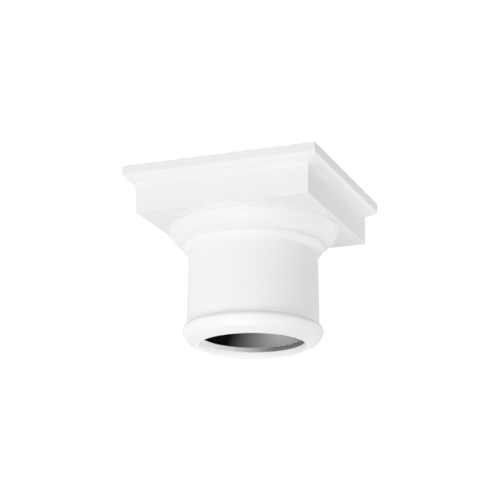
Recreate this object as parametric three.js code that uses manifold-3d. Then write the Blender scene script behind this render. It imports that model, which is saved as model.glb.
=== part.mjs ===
// Column capital: a Tuscan capital moulded in one hollow piece.
// Units are millimetres, +Z is up, and the origin is the centre of the underside.
//
// From the bottom up it has a rounded astragal, a plain neck, a bead, an ovolo and a rim, all round, and over
// them a square abacus with a flat fascia, an ogee and a square fillet. The inside is a plain round hollow, closed
// above. Below it opens through a narrower lip, and a splay leads from the lip out to the seat.

import * as THREE from 'three';
import { mergeVertices } from 'three/addons/utils/BufferGeometryUtils.js';
import Module from 'manifold-3d';

const wasm = await Module();
wasm.setup();

// Neck
const neckRadius = 110; // at its top, under the bead
const neckSpread = 1.8; // how much wider the neck's foot is
const neckHeight = 126;

// Astragal, the rounded base moulding
const astragalProjection = 6.8; // beyond the neck's foot, at the widest line
const astragalOverHeight = 7.1; // from the widest line up to the quirk
const astragalUnderHeight = 17.5; // from the bevel up to the widest line
const astragalUnderBulge = 1.9; // how far the round under that line stands out of a straight slope
const bevelHeight = 7; // the bevel that leads down to the seat
const bevelWidth = 13;

// Quirks, the narrow grooves that part the round mouldings
const neckQuirkHeight = 1.4;
const neckQuirkDepth = 0.8;
const beadQuirkHeight = 4.5;
const beadQuirkDepth = 1.2;

// Bead and ovolo, the two round mouldings under the abacus
const beadProjection = 10.5; // beyond the neck
const beadHeight = 11;
const beadBulge = 2.2; // how far its face stands out of a straight slope
const ovoloProjection = 24; // beyond the bead
const ovoloHeight = 25;
const ovoloBulge = 4.8;
const rimProjection = 3.5; // beyond the ovolo
const rimHeight = 6;

// Abacus
const soffitMargin = 3.7; // flat soffit left between the rim and the middle of each side
const fasciaHeight = 50;
const fasciaDraft = 0.8; // how much the fascia leans out from its foot to its head
const ogeeProjection = 17.5;
const ogeeHeight = 15;
const ogeeHollow = { out: 0.43, up: 0.36 }; // how far its foot holds its course, as shares of its size
const ogeeFull = { out: 0.03, up: 0.53 }; // the same for its head
const filletHeight = 13.5;

// Hollow
const neckWall = 11;
const topThickness = 14;
const lipStep = 10.5; // how far the lip round the mouth stands in from the hollow's wall
const lipHeight = 9.1;
const splayHeight = 9.4; // the slope from the lip out and down to the seat
const splayWidth = 2.5;
const seatWidth = 4.5; // the flat ring that the capital stands on

// Fineness of the round work
const segments = 80;
const arcSteps = 6;
const cutRun = 10; // how far a cutter starts outside the face it cuts
const joinRun = 10; // how far the round work runs up into the abacus

// Radii and half widths, worked outwards from the neck
const neckFootRadius = neckRadius + neckSpread;
const astragalRadius = neckFootRadius + astragalProjection;
const beadRadius = neckRadius + beadProjection;
const ovoloRadius = beadRadius + ovoloProjection;
const rimRadius = ovoloRadius + rimProjection;
const fasciaFootHalf = rimRadius + soffitMargin;
const fasciaHeadHalf = fasciaFootHalf + fasciaDraft;
const abacusHalf = fasciaHeadHalf + ogeeProjection;
const hollowRadius = neckRadius - neckWall;
const mouthRadius = hollowRadius - lipStep;
const splayRadius = mouthRadius + splayWidth;
const seatRadius = splayRadius + seatWidth;
const bevelRadius = seatRadius + bevelWidth;

// Heights, stacked from the underside
const astragalZ = bevelHeight + astragalUnderHeight;
const astragalTopZ = astragalZ + astragalOverHeight;
const neckFootZ = astragalTopZ + neckQuirkHeight;
const neckTopZ = neckFootZ + neckHeight;
const beadTopZ = neckTopZ + beadHeight;
const ovoloFootZ = beadTopZ + beadQuirkHeight;
const ovoloTopZ = ovoloFootZ + ovoloHeight;
const soffitZ = ovoloTopZ + rimHeight;
const fasciaTopZ = soffitZ + fasciaHeight;
const ogeeTopZ = fasciaTopZ + ogeeHeight;
const topZ = ogeeTopZ + filletHeight;

const point = (radius, z) => new THREE.Vector2(radius, z);

// A quarter of an ellipse, upright at its foot and level at its head.
function shoulder(foot, head) {
  const points = [];
  for (let step = 0; step <= arcSteps; step += 1) {
    const turn = (Math.PI / 2) * (step / arcSteps);
    const radius = head.x + (foot.x - head.x) * Math.cos(turn);
    const z = foot.y + (head.y - foot.y) * Math.sin(turn);
    points.push(point(radius, z));
  }
  return points;
}

// An arc of a circle that stands out of the straight line between its ends by the bulge.
function bulgedArc(foot, head, bulge) {
  const chord = head.clone().sub(foot);
  const radius = (chord.lengthSq() / 4 + bulge * bulge) / (2 * bulge);
  const outward = point(chord.y, -chord.x).normalize();
  const centre = foot.clone().add(head).multiplyScalar(0.5).addScaledVector(outward, bulge - radius);
  const start = foot.clone().sub(centre).angle();
  const turn = 2 * Math.asin(chord.length() / (2 * radius));
  const points = [];
  for (let step = 0; step <= arcSteps; step += 1) {
    const angle = start + turn * (step / arcSteps);
    points.push(point(centre.x + radius * Math.cos(angle), centre.y + radius * Math.sin(angle)));
  }
  return points;
}

// The ogee under the fillet: hollow at the fascia, full at the fillet.
function ogee(foot, head) {
  const run = head.x - foot.x;
  const rise = head.y - foot.y;
  const lower = point(foot.x + ogeeHollow.out * run, foot.y + ogeeHollow.up * rise);
  const upper = point(head.x - ogeeFull.out * run, head.y - ogeeFull.up * rise);
  return new THREE.CubicBezierCurve(foot, lower, upper, head).getPoints(2 * arcSteps);
}

// A closed geometry as a solid: shared corners merged, triangles without area dropped.
function solid(geometry) {
  geometry.deleteAttribute('normal');
  geometry.deleteAttribute('uv');
  const merged = mergeVertices(geometry);
  const corners = merged.index.array;
  const triangles = [];
  for (let i = 0; i < corners.length; i += 3) {
    const [a, b, c] = corners.slice(i, i + 3);
    if (a !== b && b !== c && c !== a) triangles.push(a, b, c);
  }
  const mesh = new wasm.Mesh({
    numProp: 3,
    vertProperties: new Float32Array(merged.attributes.position.array),
    triVerts: new Uint32Array(triangles),
  });
  return new wasm.Manifold(mesh);
}

// An outline turned about the Z axis. It runs upwards and starts and ends on the axis.
const turned = (outline) => solid(new THREE.LatheGeometry(outline, segments).rotateX(Math.PI / 2));

// The same outline run round a square, with mitred corners. Its radii are half widths.
function squared(outline) {
  const diagonal = outline.map((corner) => point(corner.x * Math.SQRT2, corner.y));
  return solid(new THREE.LatheGeometry(diagonal, 4, Math.PI / 4).rotateX(Math.PI / 2));
}

function roundWork() {
  const neckQuirkRadius = neckFootRadius - neckQuirkDepth;
  const beadQuirkRadius = beadRadius - beadQuirkDepth;
  return turned([
    point(0, 0),
    point(seatRadius, 0),
    ...bulgedArc(point(bevelRadius, bevelHeight), point(astragalRadius, astragalZ), astragalUnderBulge),
    ...shoulder(point(astragalRadius, astragalZ), point(neckFootRadius, astragalTopZ)).slice(1),
    point(neckQuirkRadius, astragalTopZ),
    point(neckQuirkRadius, neckFootZ),
    point(neckFootRadius, neckFootZ),
    ...bulgedArc(point(neckRadius, neckTopZ), point(beadRadius, beadTopZ), beadBulge),
    point(beadQuirkRadius, beadTopZ),
    point(beadQuirkRadius, ovoloFootZ),
    ...bulgedArc(point(beadRadius, ovoloFootZ), point(ovoloRadius, ovoloTopZ), ovoloBulge),
    point(rimRadius, ovoloTopZ),
    point(rimRadius, soffitZ + joinRun),
    point(0, soffitZ + joinRun),
  ]);
}

function abacus() {
  return squared([
    point(0, soffitZ),
    point(fasciaFootHalf, soffitZ),
    ...ogee(point(fasciaHeadHalf, fasciaTopZ), point(abacusHalf, ogeeTopZ)),
    point(abacusHalf, topZ),
    point(0, topZ),
  ]);
}

function hollow() {
  const lipTopZ = splayHeight + lipHeight;
  const ceilingZ = topZ - topThickness;
  return turned([
    point(0, -cutRun),
    point(splayRadius, -cutRun),
    point(splayRadius, 0),
    point(mouthRadius, splayHeight),
    point(mouthRadius, lipTopZ),
    point(hollowRadius, lipTopZ),
    point(hollowRadius, ceilingZ),
    point(0, ceilingZ),
  ]);
}

function toGeometry(manifold) {
  const mesh = manifold.getMesh();
  const geometry = new THREE.BufferGeometry();
  geometry.setAttribute('position', new THREE.BufferAttribute(new Float32Array(mesh.vertProperties), 3));
  geometry.setIndex(new THREE.BufferAttribute(new Uint32Array(mesh.triVerts), 1));
  geometry.computeVertexNormals();
  return geometry;
}

const whiteMoulding = new THREE.MeshStandardMaterial({ color: 0xf1f1ef, roughness: 0.45, metalness: 0 });

const capital = new THREE.Mesh(toGeometry(roundWork().add(abacus()).subtract(hollow())), whiteMoulding);
capital.name = 'capital';

const group = new THREE.Group();
group.add(capital);

export default group;
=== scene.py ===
# %% [markdown]
# # A moulded column capital
#
# A capital is the head of a column. This one is of the plain Tuscan kind: a square slab on top, called
# the abacus, and under it a family of round mouldings that lead down to the shaft. It is cast as one
# hollow piece and sold with a white satin finish.
#
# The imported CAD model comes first, because it settles where everything is. All that follows only dresses
# it.

from math import cos, pi, radians, sin, sqrt

import bmesh
import bpy
from mathutils import Matrix, Vector
from mathutils.geometry import interpolate_bezier


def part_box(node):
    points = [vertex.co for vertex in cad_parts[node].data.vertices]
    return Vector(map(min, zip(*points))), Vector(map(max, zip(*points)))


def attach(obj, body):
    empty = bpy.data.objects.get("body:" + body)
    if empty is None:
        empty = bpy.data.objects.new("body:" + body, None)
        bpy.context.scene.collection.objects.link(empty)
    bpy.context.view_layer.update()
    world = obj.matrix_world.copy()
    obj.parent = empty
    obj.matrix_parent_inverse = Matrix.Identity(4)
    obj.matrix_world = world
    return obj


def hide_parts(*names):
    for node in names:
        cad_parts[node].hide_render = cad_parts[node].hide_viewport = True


MM = 0.001

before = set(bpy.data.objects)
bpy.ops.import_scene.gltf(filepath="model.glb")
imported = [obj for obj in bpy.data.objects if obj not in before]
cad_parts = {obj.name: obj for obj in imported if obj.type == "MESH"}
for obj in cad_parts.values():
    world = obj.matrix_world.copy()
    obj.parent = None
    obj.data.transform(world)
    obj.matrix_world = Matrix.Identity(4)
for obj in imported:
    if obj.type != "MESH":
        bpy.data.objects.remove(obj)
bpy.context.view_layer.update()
print("nodes of the CAD model:", list(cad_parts))

# %% [markdown]
# ## The camera
#
# The photograph looks up at the capital from below and from its right, through a long lens. A long lens
# stands far back, so lines that run away from us hardly draw together. The camera is placed first, and
# every later choice is judged through it. Its three axes are worked out from the direction it looks in
# and a slight roll, which is easier to read than three Euler angles.

# %% Camera at the photograph's angle
PHOTO_WIDTH = 500  # pixels
FOCAL_LENGTH = 1707  # in the same pixels
SENSOR_WIDTH = 36.0  # millimetres
FARTHEST_SEEN = 50  # metres
CAMERA_PLACE = Vector((1.0046, -2.5955, -0.6696))
HEADING = radians(-21.28)  # from +Y towards +X
PITCH = radians(16.75)
ROLL = radians(0.36)

ahead = Vector((sin(HEADING) * cos(PITCH), cos(HEADING) * cos(PITCH), sin(PITCH)))
level_right = Vector((cos(HEADING), -sin(HEADING), 0))
level_up = level_right.cross(ahead)
right = level_right * cos(ROLL) + level_up * sin(ROLL)
up = level_up * cos(ROLL) - level_right * sin(ROLL)

lens = bpy.data.cameras.new("camera")
lens.sensor_width = SENSOR_WIDTH
lens.lens = SENSOR_WIDTH * FOCAL_LENGTH / PHOTO_WIDTH
lens.clip_end = FARTHEST_SEEN
camera = bpy.data.objects.new("camera", lens)
camera.matrix_world = Matrix.Translation(CAMERA_PLACE) @ Matrix((right, up, -ahead)).transposed().to_4x4()
bpy.context.scene.collection.objects.link(camera)
bpy.context.scene.camera = camera
print(f"lens {lens.lens:.1f} mm, {CAMERA_PLACE.length:.2f} m from the capital's foot")

# %% [markdown]
# ## Drawing a section
#
# Mouldings are drawn as a section, half of the cut through the middle, and the whole shape follows from
# it. The section could be a curve object with a screw modifier. Here it is a chain of vertices in a
# bmesh, because the chain can be spun, bridged and bevelled in the same mesh. Straight runs are made by
# extruding the last vertex. A round is made by spinning it about the centre of its arc, which is how a
# pair of compasses draws it.

# %% A section drawn with operators
MERGE_DISTANCE = 1e-6  # metres


class Section:
    """A chain of edges in the XZ plane. Radii and heights are in millimetres."""

    def __init__(self, radius, height):
        self.mesh = bmesh.new()
        self.end = self.mesh.verts.new((radius * MM, 0, height * MM))

    def line(self, *points):
        for radius, height in points:
            self.end = bmesh.ops.extrude_vert_indiv(self.mesh, verts=[self.end])["verts"][0]
            self.end.co = (radius * MM, 0, height * MM)

    def arc(self, radius, height, bulge, steps=16):
        """An arc to the given point that stands out of the straight line by the bulge."""
        start, finish = self.end.co.copy(), Vector((radius * MM, 0, height * MM))
        chord, bulge = finish - start, bulge * MM
        size = (chord.length_squared / 4 + bulge * bulge) / (2 * bulge)
        outward = Vector((chord.z, 0, -chord.x)).normalized()
        centre = (start + finish) / 2 + outward * (bulge - size)
        turn = (start - centre).angle(finish - centre)
        spun = bmesh.ops.spin(self.mesh, geom=[self.end], cent=centre, axis=(0, -1, 0), angle=turn,
                              steps=steps, use_duplicate=False)
        self.end = next(part for part in spun["geom_last"] if isinstance(part, bmesh.types.BMVert))

    def turn(self, steps):
        """The section spun all the way round the Z axis, with its first and last copy merged."""
        everything = self.mesh.verts[:] + self.mesh.edges[:]
        bmesh.ops.spin(self.mesh, geom=everything, cent=(0, 0, 0), axis=(0, 0, 1), angle=2 * pi,
                       steps=steps, use_merge=True, use_duplicate=False)
        bmesh.ops.remove_doubles(self.mesh, verts=self.mesh.verts, dist=MERGE_DISTANCE)
        return self.mesh


# %% [markdown]
# ## The sizes
#
# A moulding is read outwards from the neck and upwards from the foot, so the sizes are written that way:
# each radius is the one before it and a step, and each height stands on the one below. The width and the
# height of the whole come from the CAD model.

# %% Radii and half widths, in millimetres
top_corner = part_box("capital")[1]
NECK = 110.0  # at its top
NECK_FOOT = NECK + 1.8
ASTRAGAL = NECK_FOOT + 6.8
BEAD = NECK + 10.5
OVOLO = BEAD + 24.0
RIM = OVOLO + 3.5
FASCIA_FOOT = RIM + 3.7
FASCIA_HEAD = FASCIA_FOOT + 0.8
ABACUS = top_corner.x / MM
HOLLOW = NECK - 11.0
LIP = HOLLOW - 10.5
SEAT_INNER = LIP + 2.5
SEAT = SEAT_INNER + 4.5
SEAT_BEVEL = SEAT + 13.0
NECK_QUIRK_DEPTH, BEAD_QUIRK_DEPTH = 0.8, 1.2
print(f"neck {2 * NECK:.0f} mm across, abacus {2 * ABACUS:.0f} mm, mouth {2 * LIP:.0f} mm")

# %% Heights, in millimetres
LIP_Z = 9.4
LIP_TOP_Z = LIP_Z + 9.1
SEAT_BEVEL_Z = 7.0
ASTRAGAL_Z = SEAT_BEVEL_Z + 17.5  # its widest line
SHOULDER_HEIGHT = 7.1
NECK_QUIRK_Z = ASTRAGAL_Z + SHOULDER_HEIGHT
NECK_FOOT_Z = NECK_QUIRK_Z + 1.4
NECK_Z = NECK_FOOT_Z + 126.0
BEAD_QUIRK_Z = NECK_Z + 11.0
OVOLO_Z = BEAD_QUIRK_Z + 4.5
RIM_Z = OVOLO_Z + 25.0
SOFFIT_Z = RIM_Z + 6.0
FASCIA_Z = SOFFIT_Z + 50.0
FILLET_Z = FASCIA_Z + 15.0
TOP_Z = top_corner.z / MM
CEILING_Z = TOP_Z - 14.0
print(f"astragal to {NECK_QUIRK_Z:.1f}, neck to {NECK_Z:.0f}, soffit at {SOFFIT_Z:.1f}, top {TOP_Z:.0f} mm")

# %% [markdown]
# ## The round work
#
# Under the abacus everything is turned: the astragal, which is the rounded moulding at the foot, the
# plain neck above a thin groove or quirk, a small bead, another quirk, and the ovolo with its flat rim.
# The section is drawn from the ceiling of the hollow down to the lip, round the lip and out to the seat,
# and up the outside to the soffit. In this way one spin gives the inside and the outside, and no wall has
# to be thickened afterwards. The lower half of the astragal is an arc of a circle. Its upper half is a
# quarter of an ellipse, which no spin can draw, so its points are worked out one by one.

# %% The inside and the foot
section = Section(HOLLOW, CEILING_Z)
section.line((HOLLOW, LIP_TOP_Z), (LIP, LIP_TOP_Z), (LIP, LIP_Z), (SEAT_INNER, 0), (SEAT, 0))
section.line((SEAT_BEVEL, SEAT_BEVEL_Z))
print(len(section.mesh.verts), "points so far")

# %% The astragal
QUARTER_TURN, SHOULDER_STEP = 90, 6  # degrees

section.arc(ASTRAGAL, ASTRAGAL_Z, bulge=1.9)
for degrees in range(SHOULDER_STEP, QUARTER_TURN + 1, SHOULDER_STEP):
    section.line((NECK_FOOT + (ASTRAGAL - NECK_FOOT) * cos(radians(degrees)),
                  ASTRAGAL_Z + SHOULDER_HEIGHT * sin(radians(degrees))))
print(len(section.mesh.verts), "points up to the neck's quirk")

# %% The neck, the bead and the ovolo
quirk = NECK_FOOT - NECK_QUIRK_DEPTH
section.line((quirk, NECK_QUIRK_Z), (quirk, NECK_FOOT_Z), (NECK_FOOT, NECK_FOOT_Z), (NECK, NECK_Z))
section.arc(BEAD, BEAD_QUIRK_Z, bulge=2.2)
quirk = BEAD - BEAD_QUIRK_DEPTH
section.line((quirk, BEAD_QUIRK_Z), (quirk, OVOLO_Z), (BEAD, OVOLO_Z))
section.arc(OVOLO, RIM_Z, bulge=4.8, steps=24)
section.line((RIM, RIM_Z), (RIM, SOFFIT_Z))
print(len(section.mesh.verts), "points in the round section")

# %% Spin it
AROUND = 192  # steps round the axis, a multiple of four

body = section.turn(AROUND)
print(len(body.faces), "faces of round work")

# %% [markdown]
# ## The abacus
#
# The slab on top has a flat fascia, an ogee (a moulding that is hollow below and full above) and a square
# fillet. On a square plan the same section runs along four sides and meets in mitres. A spin of four
# steps does just that: the section is stretched by the square root of two, so that its copies stand on
# the diagonals.
#
# The ogee is a Bezier curve. Its first handle sets how flat it leaves the fascia, and its second how
# upright it meets the fillet. Both are given as shares of its reach.

# %% The section of the abacus
OGEE_POINTS = 25
foot, head = Vector((FASCIA_HEAD, FASCIA_Z)), Vector((ABACUS, FILLET_Z))
reach = head - foot
foot_handle = foot + Vector((0.43 * reach.x, 0.36 * reach.y))
head_handle = head - Vector((0.03 * reach.x, 0.53 * reach.y))
ogee = interpolate_bezier(foot, foot_handle, head_handle, head, OGEE_POINTS)

slab = Section(FASCIA_FOOT, SOFFIT_Z)
slab.line((FASCIA_HEAD, FASCIA_Z), *ogee[1:], (ABACUS, TOP_Z))
print(len(slab.mesh.verts), "points in the section of the abacus")

# %% Spin it in four steps
bmesh.ops.scale(slab.mesh, vec=(sqrt(2), 1, 1), verts=slab.mesh.verts)
bmesh.ops.rotate(slab.mesh, cent=(0, 0, 0), matrix=Matrix.Rotation(pi / 4, 3, "Z"), verts=slab.mesh.verts)
square = slab.turn(4)
print(len(square.faces), "faces before the sides are divided")

# %% [markdown]
# ## One casting
#
# The two shapes could be joined by a Boolean, which leaves one very large face with a hole in it. Here
# the sides of the slab are divided until each of its rings has as many vertices as the rim, both meshes
# are put together, and the soffit is bridged from the round rim to the square edge. Two flat caps close
# the top and the ceiling.

# %% Divide the sides and put the meshes together
LEVEL = 1e-7  # metres between the ends of an edge that counts as level

level = [edge for edge in square.edges if abs(edge.verts[0].co.z - edge.verts[1].co.z) < LEVEL]
bmesh.ops.subdivide_edges(square, edges=level, cuts=AROUND // 4 - 1, use_grid_fill=True)

carrier = bpy.data.meshes.new("carrier")
square.to_mesh(carrier)
body.from_mesh(carrier)
square.free()
bpy.data.meshes.remove(carrier)
print(len(body.faces), "faces in both shapes")

# %% Bridge the soffit and close the top and the ceiling
open_edges = [edge for edge in body.edges if edge.is_boundary]


def open_ring(height):
    return [edge for edge in open_edges
            if all(abs(end.co.z - height * MM) < MERGE_DISTANCE for end in edge.verts)]


bmesh.ops.bridge_loops(body, edges=open_ring(SOFFIT_Z))
for height in (TOP_Z, CEILING_Z):
    bmesh.ops.edgeloop_fill(body, edges=open_ring(height))
print(len(body.faces), "faces,", sum(edge.is_boundary for edge in body.edges), "open edges")

# %% [markdown]
# ## Softened arrises
#
# No moulding leaves its mould with a knife edge. The primer fills the hollows and rounds the corners a
# little more. Every edge where two faces meet at more than twenty-five degrees is bevelled: about a
# millimetre on the abacus, half of that on the small round mouldings and in their grooves.

# %% Bevel what is sharp
SHARP = radians(25)
SLACK = 1.0  # millimetres, so that edges at the very ends of a range are in it


def soften(low_z, high_z, width):
    """Bevels the sharp edges that lie between two heights."""
    edges = [edge for edge in body.edges
             if edge.is_manifold and edge.calc_face_angle() > SHARP
             and (low_z - SLACK) * MM <= min(end.co.z for end in edge.verts)
             and max(end.co.z for end in edge.verts) <= (high_z + SLACK) * MM]
    bmesh.ops.bevel(body, geom=edges, offset=width * MM, offset_type="OFFSET", affect="EDGES", segments=3,
                    profile=0.5, clamp_overlap=True, material=-1)
    print(len(edges), "edges softened by", width, "mm")


soften(0, RIM_Z, width=0.45)
soften(SOFFIT_Z, TOP_Z, width=0.9)

# %% [markdown]
# ## From a mesh to a piece
#
# A piece of the part is an object that rides on the part's one body; the CAD node it replaces is hidden,
# and its finish is added after. Its faces are shaded smooth. A weighted normal modifier then lets the large
# flat faces decide the shading at their corners, so that the flats stay flat and only the narrow bevels
# turn.

# %% Make the capital


def finish_piece(name, shape):
    """A smooth-shaded object from a bmesh, riding on the part's one body."""
    mesh = bpy.data.meshes.new(name)
    bmesh.ops.recalc_face_normals(shape, faces=shape.faces)
    shape.to_mesh(mesh)
    shape.free()
    for face in mesh.polygons:
        face.use_smooth = True
    piece = bpy.data.objects.new(name, mesh)
    bpy.context.scene.collection.objects.link(piece)
    weighted = piece.modifiers.new("level_faces", "WEIGHTED_NORMAL")
    weighted.weight = 100
    weighted.keep_sharp = True
    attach(piece, "root")
    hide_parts("capital")
    print(name, len(mesh.polygons), "faces,", [round(side / MM, 2) for side in piece.dimensions], "mm")
    return piece


capital = finish_piece("moulded_capital", body)

# %% [markdown]
# ## Painted shade in the opening
#
# Inside the opening the white moulding lies in shade, and that shade is painted: the lip gets a grey
# sheet of painted shade, and the hollow behind a nearly black one. A mask in the material could darken
# those faces. Two thin sheets, a fraction of a millimetre thick, say more plainly where the white ends and
# the painted shade begins, and each can be lit by itself. Their sections are drawn and spun like the first.

# %% Sheet of painted shade on the lip
SHEET, SHEET_GAP = 0.4, 0.05  # thickness, and the gap to the moulding behind

inner, outer = LIP - SHEET, LIP - SHEET_GAP
foot_z, head_z = LIP_Z + 2 * SHEET, LIP_TOP_Z - 2 * SHEET
lip_band = Section(inner, foot_z)
lip_band.line((outer, foot_z), (outer, head_z), (inner, head_z), (inner, foot_z))  # back to its start
lip_shade_sheet = finish_piece("lip_shade_sheet", lip_band.turn(AROUND))

# %% Sheet of painted shade in the hollow
inner, outer = HOLLOW - SHEET, HOLLOW - SHEET_GAP
foot_z, head_z = LIP_TOP_Z + SHEET_GAP, CEILING_Z - SHEET_GAP
hollow_sheet_section = Section(inner, CEILING_Z - SHEET)
hollow_sheet_section.line((inner, foot_z), (outer, foot_z), (outer, head_z))
hollow_sheet_mesh = hollow_sheet_section.turn(AROUND)
bmesh.ops.holes_fill(hollow_sheet_mesh, edges=hollow_sheet_mesh.edges)
hollow_shade_sheet = finish_piece("hollow_shade_sheet", hollow_sheet_mesh)

# %% [markdown]
# ## Shader maths as Python
#
# A node tree is a formula, so it is written as one. The class below wraps an output socket. Adding,
# subtracting or multiplying makes a Math node, and the one method `node` makes any other kind.

# %% A socket that can be added and multiplied


class Wire:
    """An output socket of a node tree."""

    def __init__(self, tree, socket=None):
        self.tree, self.socket = tree, socket

    def node(self, kind, settings=None, inputs=None, output=0):
        made = self.tree.nodes.new("ShaderNode" + kind)
        for name, value in (settings or {}).items():
            setattr(made, name, value)
        for name, value in (inputs or {}).items():
            if isinstance(value, Wire):
                self.tree.links.new(value.socket, made.inputs[name])
            else:
                made.inputs[name].default_value = value
        return Wire(self.tree, made.outputs[output]) if made.outputs else made

    def math(self, operation, first, second=0.0):
        return self.node("Math", {"operation": operation}, {0: first, 1: second})

    def __add__(self, other):
        return self.math("ADD", self, other)

    def __sub__(self, other):
        return self.math("SUBTRACT", self, other)

    def __rsub__(self, other):
        return self.math("SUBTRACT", other, self)

    def __mul__(self, other):
        return self.math("MULTIPLY", self, other)

    __radd__ = __add__
    __rmul__ = __mul__


# %% [markdown]
# ## The finish
#
# The capital is rigid foam under a satin white primer. From a metre away it looks even. Close up the
# primer has a fine orange peel, the large faces wander by a few hundredths of a millimetre, and the gloss
# is a little patchy where the primer lies thicker. All of it is noise at three scales, read from the
# object's own coordinates, so that the pattern stays on the piece from every side.

# %% Start and end a material
RELIEF = 0.00025  # metres of height that a relief of 1 stands for
RELIEF_SHARE = 0.5  # how strongly it tilts the surface
PRIMER_IOR = 1.46


def new_material(name):
    """An empty node tree, and a wire to hang its first nodes on."""
    material = bpy.data.materials.new(name)
    material.use_nodes = True
    material.node_tree.nodes.clear()
    return material, Wire(material.node_tree)


def end_material(material, wire, colour, roughness, relief, specular):
    """The surface and the output."""
    bump = wire.node("Bump", inputs={"Strength": RELIEF_SHARE, "Distance": RELIEF, "Height": relief})
    surface = wire.node("BsdfPrincipled", inputs={
        "Base Color": colour, "Roughness": roughness, "Normal": bump,
        "IOR": PRIMER_IOR, "Specular IOR Level": specular})
    wire.node("OutputMaterial", inputs={"Surface": surface})
    print(len(wire.tree.nodes), "nodes in", material.name)
    return material


# %% Noise, and a blend of two colours


def noise(place, scale, detail):
    return place.node("TexNoise", inputs={"Vector": place, "Scale": scale, "Detail": detail})


def blend(factor, first, second):
    """The first colour where the factor is 0, the second where it is 1."""
    return factor.node("Mix", {"data_type": "RGBA"}, {0: factor, 6: first, 7: second}, output=2)


# %% The white primer
THIN_PRIMER, THICK_PRIMER = (0.895, 0.895, 0.893, 1), (0.915, 0.915, 0.912, 1)

white, start = new_material("white_moulding")
place = start.node("TexCoord", output="Object")
broad = noise(place, scale=9, detail=3)  # a wave of about a tenth of a metre
patchy = noise(place, scale=70, detail=4)
peel = noise(place, scale=900, detail=2)  # about a millimetre
primer = blend(broad, THIN_PRIMER, THICK_PRIMER)
end_material(white, start, primer, roughness=0.40 + 0.14 * patchy, relief=0.25 * peel + 1.2 * broad,
             specular=0.5)
capital.data.materials.append(white)

# %% [markdown]
# ## The painted shade
#
# Both sheets are coloured dark as painted shade, for the shade inside the opening: matt, a little cloudy,
# and pitted with small pores. A Voronoi texture gives the pores, because the distance to its nearest
# point makes a small round pit in every cell. The lip and the hollow share the recipe and differ in tone,
# pores and sheen.

# %% The two sheets of painted shade


def painted_shade_material(name, dark, light, pore_size, specular):
    material, start = new_material(name)
    place = start.node("TexCoord", output="Object")
    clouds = noise(place, scale=60, detail=4)
    pores = start.node("TexVoronoi", inputs={"Vector": place, "Scale": 1 / pore_size})
    colour = blend(clouds, (dark, dark, dark, 1), (light, light, light, 1))
    return end_material(material, start, colour, roughness=0.62 + 0.2 * clouds, relief=2.0 * pores,
                        specular=specular)


# painted shade: grey on the lip, nearly black in the hollow, where the white moulding lies in shade
grey_painted_shade = painted_shade_material("grey_painted_shade", dark=0.26, light=0.30, pore_size=0.0018, specular=0.05)
dark_painted_shade = painted_shade_material("dark_painted_shade", dark=0.0108, light=0.0136, pore_size=0.0024, specular=0.01)
lip_shade_sheet.data.materials.append(grey_painted_shade)
hollow_shade_sheet.data.materials.append(dark_painted_shade)

# %% [markdown]
# ## Floor, sky and lights
#
# The capital is shown in the air on a white ground, and the camera is below it. A floor at its foot would
# hide it, so the pale floor lies far below, where it doesn't come between the capital and a camera under
# it. Most of the light is a white sky, as in a light tent. It is brightest near the horizon and dimmer
# overhead and to the right, which shades the side that turns away. What the camera sees behind the
# capital stays white.

# %% The pale floor
FLOOR_Z, FLOOR_RADIUS = -3.2, 4.6  # metres

ground = bmesh.new()
bmesh.ops.create_circle(ground, cap_ends=True, segments=96, radius=FLOOR_RADIUS)
bmesh.ops.translate(ground, verts=ground.verts, vec=(0, 0, FLOOR_Z))
floor_mesh = bpy.data.meshes.new("floor")
ground.to_mesh(floor_mesh)
ground.free()
floor = bpy.data.objects.new("floor", floor_mesh)
bpy.context.scene.collection.objects.link(floor)

pale = bpy.data.materials.new("pale_floor")
pale.use_nodes = True
pale_surface = pale.node_tree.nodes["Principled BSDF"]
pale_surface.inputs["Base Color"].default_value = (0.93, 0.93, 0.93, 1)
pale_surface.inputs["Roughness"].default_value = 0.9
floor.data.materials.append(pale)
print(f"floor {2 * FLOOR_RADIUS} m across, {-FLOOR_Z} m down")

# %% The sky
BRIGHTNESS, DIMMING = 1.05, 0.86
DIM_TOWARDS = Vector((0.296, 0.171, 0.94))
WHITE = (1, 1, 1, 1)

world = bpy.data.worlds.new("tent")
bpy.context.scene.world = world
world.use_nodes = True
world.node_tree.nodes.clear()
sky = Wire(world.node_tree)
direction = sky.node("TexCoord", output="Generated")
facing = sky.node("VectorMath", {"operation": "DOT_PRODUCT"}, {0: direction, 1: DIM_TOWARDS}, output="Value")
overhead = sky.math("MAXIMUM", facing, 0.0)
tent = sky.node("Background", inputs={"Color": WHITE, "Strength": BRIGHTNESS - DIMMING * overhead})
seen = sky.node("Background", inputs={"Color": WHITE, "Strength": BRIGHTNESS})
straight = sky.node("LightPath", output="Is Camera Ray")
sky.node("OutputWorld", inputs={"Surface": sky.node("MixShader", inputs={0: straight, 1: tent, 2: seen})})
print(f"sky from {BRIGHTNESS - DIMMING:.2f} to {BRIGHTNESS:.2f}")

# %% Soft lights
NECK_MIDDLE = Vector((0, 0, 0.12))


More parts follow.
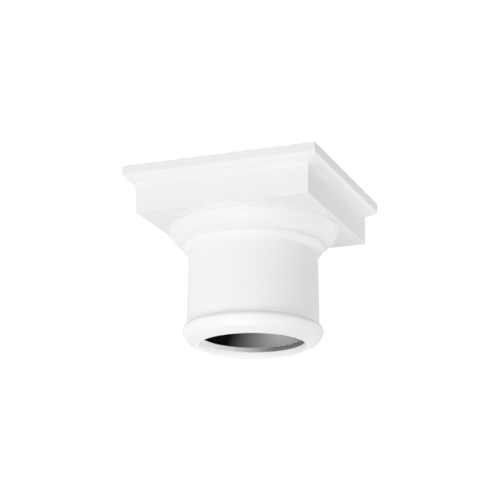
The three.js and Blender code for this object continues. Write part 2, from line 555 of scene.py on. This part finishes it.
def disc_light(name, place, aim, size, power):
    """A round soft light at a place, turned towards a point, that the camera doesn't see."""
    lamp = bpy.data.lights.new(name, "AREA")
    lamp.shape, lamp.size, lamp.energy = "DISK", size, power
    light = bpy.data.objects.new(name, lamp)
    light.location = place
    light.rotation_euler = (Vector(aim) - Vector(place)).to_track_quat("-Z", "Y").to_euler()
    light.visible_camera = False
    bpy.context.scene.collection.objects.link(light)
    print(f"{name}: {size} m across, {power} W")
    return light


disc_light("from_below", place=(0, -0.746, -0.945), aim=NECK_MIDDLE, size=0.5, power=4.0)
disc_light("far_right", place=(0.5, 0.6, 0.1), aim=(0.16, 0.1, 0.2), size=0.3, power=0.5)

# %% [markdown]
# ## Light for one piece
#
# The sky is dim overhead, so the flat top gets a light of its own, which reaches no other face. The
# opening is the one dark place of the photograph, and its light is particular. The hollow goes from black
# on the left to grey on the right, and the lip goes the other way. In a studio that takes small lamps and
# black cards. Light linking does the same with less: a light can be told to fall on one piece only.

# %% Five lights, each for one piece


def light_only(piece, name, place, aim, size, power):
    """A soft light that falls on one piece and leaves all others as they are."""
    light = disc_light(name, place, aim, size, power)
    chosen = bpy.data.collections.new(name + "_receiver")
    chosen.objects.link(piece)
    light.light_linking.receiver_collection = chosen


light_only(capital, "top_light", place=(0, 0, 1.6), aim=(0, 0, 0.284), size=0.2, power=6.0)
light_only(capital, "splay_light", place=(0.045, -0.037, -0.06), aim=(-0.055, 0.07, 0.004), size=0.06,
           power=0.049)
light_only(capital, "left_light", place=(-0.03, -0.01, -0.04), aim=(-0.09, 0.03, 0.004), size=0.06,
           power=0.0115)
light_only(lip_shade_sheet, "lip_light", place=(0, 0, 0.013), aim=(-0.1, 0.0035, 0.013), size=0.03, power=0.17)
light_only(hollow_shade_sheet, "hollow_light", place=(0.0044, 0.0367, 0.05), aim=(0.0298, 0.0829, 0.0213), size=0.02,
           power=1.32)

# %% [markdown]
# ## Plain colours
#
# Blender's default view rolls the brightest tones off as film does, which turns a white object grey. The
# standard view shows each tone as it was worked out, so white stays white.

# %% Leave the film look out
scene = bpy.context.scene
scene.view_settings.view_transform = "Standard"
scene.view_settings.look = "None"
print("view:", scene.view_settings.view_transform)
